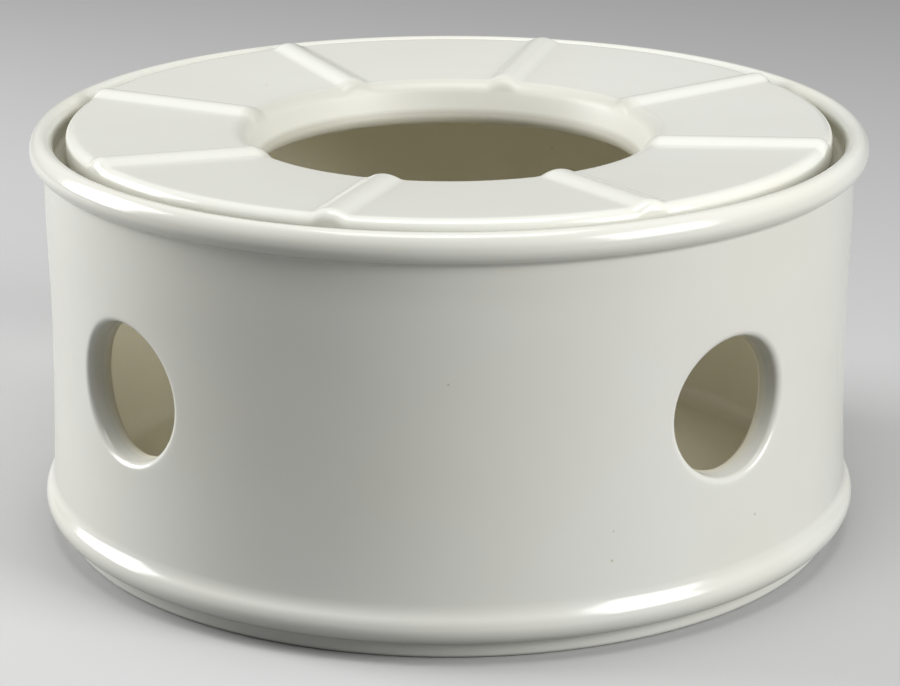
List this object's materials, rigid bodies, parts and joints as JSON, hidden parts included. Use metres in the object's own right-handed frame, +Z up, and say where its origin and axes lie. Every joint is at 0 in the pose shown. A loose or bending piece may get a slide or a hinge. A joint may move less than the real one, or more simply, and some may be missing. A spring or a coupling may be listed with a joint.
{
  "type": "teapot warmer",
  "caption": "Round glazed ceramic teapot warmer: a waisted drum with a rolled rim, a foot bead and round air holes, under a loose ribbed ring plate.",
  "frame": {"origin": "centre of the foot ring, on the surface that the drum stands on", "axes": "+Z up along the axis of the drum; +X, -X, +Y and -Y each run through the middle of a side hole"},
  "size_m": [0.16, 0.16, 0.0803],
  "materials": {
    "drum_glaze": "glossy ivory glaze",
    "plate_glaze": "glossy ivory glaze"
  },
  "bodies": {
    "root": {"warmer_body": "drum_glaze", "top_plate": "plate_glaze"}
  },
  "joints": []
}
